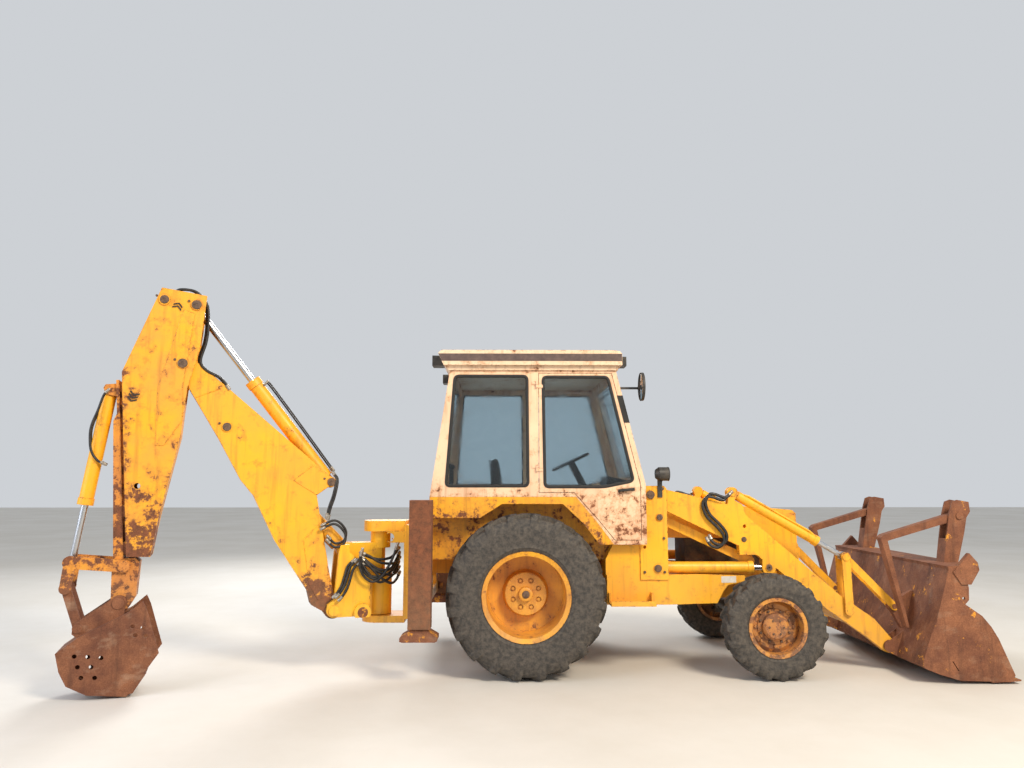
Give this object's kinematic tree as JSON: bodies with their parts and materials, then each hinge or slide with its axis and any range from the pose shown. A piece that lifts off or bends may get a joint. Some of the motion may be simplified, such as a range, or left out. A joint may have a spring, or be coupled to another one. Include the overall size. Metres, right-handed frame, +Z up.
{
  "type": "backhoe loader",
  "caption": "Wheeled backhoe loader with a cab, a front bucket with flip-over pallet forks, stabiliser legs and a side-shift digging arm.",
  "frame": {"origin": "middle of the footprint, on the ground", "axes": "+X forward, +Y to the machine's left, +Z up"},
  "size_m": [7.9352, 2.7967, 3.3267],
  "materials": {
    "yellow_paint": "worn satin",
    "cream_paint": "faded satin",
    "rusty_steel": "rusted",
    "black_paint": "matt",
    "black_plastic": "matt",
    "dirty_iron": "oily",
    "chrome_rod": "polished",
    "tyre_rubber": "dusty",
    "window_glass": "dusty"
  },
  "bodies": {
    "chassis": {"chassis_frame": "yellow_paint", "loader_towers": "yellow_paint", "slide_frame": "yellow_paint", "axles": "dirty_iron", "engine": "dirty_iron", "bonnet": "yellow_paint", "grille": "black_paint", "head_lamps": "black_paint", "cab_frame": "cream_paint", "cab_roof": "cream_paint", "cab_glass": "window_glass", "fenders": "yellow_paint", "seat": "black_plastic", "controls": "black_plastic", "fittings": "black_paint"},
    "door_right": {"door_right": "cream_paint", "door_glass_right": "window_glass"},
    "door_left": {"door_left": "cream_paint", "door_glass_left": "window_glass"},
    "knuckle_right": {"knuckle_right": "dirty_iron"},
    "knuckle_left": {"knuckle_left": "dirty_iron"},
    "wheel_rear_right": {"rim_rear_right": "yellow_paint", "tyre_rear_right": "tyre_rubber"},
    "wheel_rear_left": {"rim_rear_left": "yellow_paint", "tyre_rear_left": "tyre_rubber"},
    "wheel_front_right": {"rim_front_right": "yellow_paint", "tyre_front_right": "tyre_rubber"},
    "wheel_front_left": {"rim_front_left": "yellow_paint", "tyre_front_left": "tyre_rubber"},
    "loader_arms": {"loader_arms": "yellow_paint"},
    "lift_barrels": {"lift_barrels": "yellow_paint"},
    "lift_rods": {"lift_rods": "chrome_rod"},
    "level_links": {"level_links": "yellow_paint"},
    "knee_levers": {"knee_levers": "yellow_paint"},
    "tilt_barrels": {"tilt_barrels": "yellow_paint"},
    "tilt_rods": {"tilt_rods": "chrome_rod"},
    "dump_levers": {"dump_levers": "yellow_paint"},
    "dump_links": {"dump_links": "yellow_paint"},
    "loader_bucket": {"loader_bucket": "rusty_steel"},
    "pallet_forks": {"pallet_forks": "rusty_steel"},
    "leg_right": {"leg_right": "rusty_steel"},
    "leg_left": {"leg_left": "rusty_steel"},
    "carriage": {"carriage": "yellow_paint"},
    "kingpost": {"kingpost": "yellow_paint"},
    "boom": {"boom": "yellow_paint"},
    "boom_barrel": {"boom_barrel": "yellow_paint"},
    "boom_rod": {"boom_rod": "chrome_rod"},
    "dipper": {"dipper": "yellow_paint"},
    "dipper_barrel": {"dipper_barrel": "yellow_paint"},
    "dipper_rod": {"dipper_rod": "chrome_rod"},
    "inner_dipper": {"inner_dipper": "yellow_paint"},
    "crowd_barrel": {"crowd_barrel": "yellow_paint"},
    "crowd_rod": {"crowd_rod": "chrome_rod"},
    "bucket_lever": {"bucket_lever": "yellow_paint"},
    "bucket_links": {"bucket_links": "rusty_steel"},
    "hoe_bucket": {"hoe_bucket": "rusty_steel"}
  },
  "joints": [
    {"name": "wheel_rear_right_spin", "type": "hinge", "parent": "chassis", "child": "wheel_rear_right", "pos_m": [-0.14, -0.5775, 0.705], "axis": [0, 1, 0], "continuous": true},
    {"name": "wheel_rear_left_spin", "type": "hinge", "parent": "chassis", "child": "wheel_rear_left", "pos_m": [-0.14, 1.0825, 0.705], "axis": [0, 1, 0], "continuous": true},
    {"name": "steer_right", "type": "hinge", "parent": "chassis", "child": "knuckle_right", "pos_m": [2.01, -0.5375, 0.445], "axis": [0, 0, 1], "range_deg": [-28, 28]},
    {"name": "steer_left", "type": "hinge", "parent": "chassis", "child": "knuckle_left", "pos_m": [2.01, 1.0425, 0.445], "axis": [0, 0, 1], "range_deg": [-28, 28]},
    {"name": "wheel_front_right_spin", "type": "hinge", "parent": "knuckle_right", "child": "wheel_front_right", "pos_m": [2.01, -0.6575, 0.445], "axis": [0, 1, 0], "continuous": true},
    {"name": "wheel_front_left_spin", "type": "hinge", "parent": "knuckle_left", "child": "wheel_front_left", "pos_m": [2.01, 1.1625, 0.445], "axis": [0, 1, 0], "continuous": true},
    {"name": "door_right_swing", "type": "hinge", "parent": "chassis", "child": "door_right", "pos_m": [-0.035, -0.5595, 1.7], "axis": [0, 0, -1], "range_deg": [0, 105]},
    {"name": "door_left_swing", "type": "hinge", "parent": "chassis", "child": "door_left", "pos_m": [-0.035, 1.0645, 1.7], "axis": [0, 0, 1], "range_deg": [0, 105]},
    {"name": "lift", "type": "hinge", "parent": "chassis", "child": "loader_arms", "pos_m": [1, 0.2525, 1.57], "axis": [0, -1, 0], "range_deg": [0, 67]},
    {"name": "level_link", "type": "hinge", "parent": "chassis", "child": "level_links", "pos_m": [1.079, 0.2525, 1.367], "axis": [0, -1, 0], "range_deg": [0, 67]},
    {"name": "knee_lever", "type": "hinge", "parent": "loader_arms", "child": "knee_levers", "pos_m": [1.858, 0.2525, 1.165], "axis": [0, -1, 0], "range_deg": [-67, 0]},
    {"name": "lift_barrel_swing", "type": "hinge", "parent": "chassis", "child": "lift_barrels", "pos_m": [1.055, 0.2525, 0.914], "axis": [0, -1, 0], "range_deg": [0, 67]},
    {"name": "lift_rod_slide", "type": "slide", "parent": "lift_barrels", "child": "lift_rods", "axis": [1, 0, -0.001], "range_m": [0, 0.75]},
    {"name": "tilt", "type": "hinge", "parent": "loader_arms", "child": "loader_bucket", "pos_m": [3.13, 0.2525, 0.225], "axis": [0, 1, 0], "range_deg": [-35, 90]},
    {"name": "dump_lever", "type": "hinge", "parent": "loader_arms", "child": "dump_levers", "pos_m": [2.782, 0.2525, 0.532], "axis": [0, 1, 0], "range_deg": [-35, 75]},
    {"name": "dump_link", "type": "hinge", "parent": "loader_bucket", "child": "dump_links", "pos_m": [3.202, 0.2525, 0.567], "axis": [0, -1, 0], "range_deg": [-35, 80]},
    {"name": "tilt_barrel_swing", "type": "hinge", "parent": "loader_arms", "child": "tilt_barrels", "pos_m": [1.769, 0.2525, 1.589], "axis": [0, 1, 0], "range_deg": [-10, 10]},
    {"name": "tilt_rod_slide", "type": "slide", "parent": "tilt_barrels", "child": "tilt_rods", "axis": [0.8663, 0, -0.4996], "range_m": [-0.25, 0.55]},
    {"name": "fork_flip", "type": "hinge", "parent": "loader_bucket", "child": "pallet_forks", "pos_m": [3.75, 0.2525, 1.385], "axis": [0, 1, 0], "range_deg": [0, 270]},
    {"name": "leg_right_slide", "type": "slide", "parent": "chassis", "child": "leg_right", "axis": [0, 0, -1], "range_m": [0, 0.5]},
    {"name": "leg_left_slide", "type": "slide", "parent": "chassis", "child": "leg_left", "axis": [0, 0, -1], "range_m": [0, 0.5]},
    {"name": "side_shift", "type": "slide", "parent": "chassis", "child": "carriage", "axis": [0, 1, 0], "range_m": [0, 1.1]},
    {"name": "swing", "type": "hinge", "parent": "carriage", "child": "kingpost", "pos_m": [-1.47, -0.2975, 0.9], "axis": [0, 0, -1], "range_deg": [-70, 110]},
    {"name": "boom", "type": "hinge", "parent": "kingpost", "child": "boom", "pos_m": [-1.87407, -0.44457, 0.572], "axis": [0.342, -0.9397, 0], "range_deg": [-8, 75]},
    {"name": "boom_barrel_swing", "type": "hinge", "parent": "kingpost", "child": "boom_barrel", "pos_m": [-1.79513, -0.41584, 1.084], "axis": [0.342, -0.9397, 0], "range_deg": [-15, 85]},
    {"name": "boom_rod_slide", "type": "slide", "parent": "boom_barrel", "child": "boom_rod", "axis": [-0.6504, -0.2367, 0.7218], "range_m": [-0.1, 0.75]},
    {"name": "dipper", "type": "hinge", "parent": "boom", "child": "dipper", "pos_m": [-3.1154, -0.89638, 2.683], "axis": [-0.342, 0.9397, 0], "range_deg": [-10, 78]},
    {"name": "dipper_barrel_swing", "type": "hinge", "parent": "boom", "child": "dipper_barrel", "pos_m": [-1.91635, -0.45996, 1.684], "axis": [-0.342, 0.9397, 0], "range_deg": [-5, 10]},
    {"name": "dipper_rod_slide", "type": "slide", "parent": "dipper_barrel", "child": "dipper_rod", "axis": [-0.5812, -0.2115, 0.7858], "range_m": [-0.75, 0.2]},
    {"name": "extend", "type": "slide", "parent": "dipper", "child": "inner_dipper", "axis": [0.0722, 0.0263, -0.997], "range_m": [0, 1]},
    {"name": "hoe_tilt", "type": "hinge", "parent": "inner_dipper", "child": "hoe_bucket", "pos_m": [-3.47154, -1.026, 0.72], "axis": [-0.342, 0.9397, 0], "range_deg": [-90, 50]},
    {"name": "bucket_lever_turn", "type": "hinge", "parent": "inner_dipper", "child": "bucket_lever", "pos_m": [-3.44993, -1.01814, 1.009], "axis": [-0.342, 0.9397, 0], "range_deg": [-70, 40]},
    {"name": "bucket_link_turn", "type": "hinge", "parent": "hoe_bucket", "child": "bucket_links", "pos_m": [-3.73466, -1.12177, 0.54], "axis": [0.342, -0.9397, 0], "range_deg": [-70, 40]},
    {"name": "crowd_barrel_swing", "type": "hinge", "parent": "inner_dipper", "child": "crowd_barrel", "pos_m": [-3.63129, -1.08415, 2.45], "axis": [0.342, -0.9397, 0], "range_deg": [-10, 10]},
    {"name": "crowd_rod_slide", "type": "slide", "parent": "crowd_barrel", "child": "crowd_rod", "axis": [-0.1296, -0.0472, -0.9904], "range_m": [-0.4, 0.5]}
  ],
  "couplings": [
    {"joint": "steer_left", "follows": "steer_right", "ratio": 1},
    {"joint": "level_link", "follows": "lift", "ratio": 1},
    {"joint": "knee_lever", "follows": "lift", "ratio": -1},
    {"joint": "lift_barrel_swing", "follows": "lift", "ratio": 0.847},
    {"joint": "lift_rod_slide", "follows": "lift", "m_per_rad": 0.5987},
    {"joint": "dump_lever", "follows": "tilt", "ratio": 0.8},
    {"joint": "dump_link", "follows": "tilt", "ratio": 0.803},
    {"joint": "tilt_barrel_swing", "follows": "tilt", "ratio": -0.033},
    {"joint": "tilt_rod_slide", "follows": "tilt", "m_per_rad": 0.3179},
    {"joint": "boom_barrel_swing", "follows": "boom", "ratio": 1},
    {"joint": "boom_rod_slide", "follows": "boom", "m_per_rad": 0.4698},
    {"joint": "dipper_barrel_swing", "follows": "dipper", "ratio": 0.062},
    {"joint": "dipper_rod_slide", "follows": "dipper", "m_per_rad": -0.4747},
    {"joint": "bucket_lever_turn", "follows": "hoe_tilt", "ratio": 0.671},
    {"joint": "bucket_link_turn", "follows": "hoe_tilt", "ratio": 0.63},
    {"joint": "crowd_barrel_swing", "follows": "hoe_tilt", "ratio": -0.04},
    {"joint": "crowd_rod_slide", "follows": "hoe_tilt", "m_per_rad": -0.2332}
  ]
}
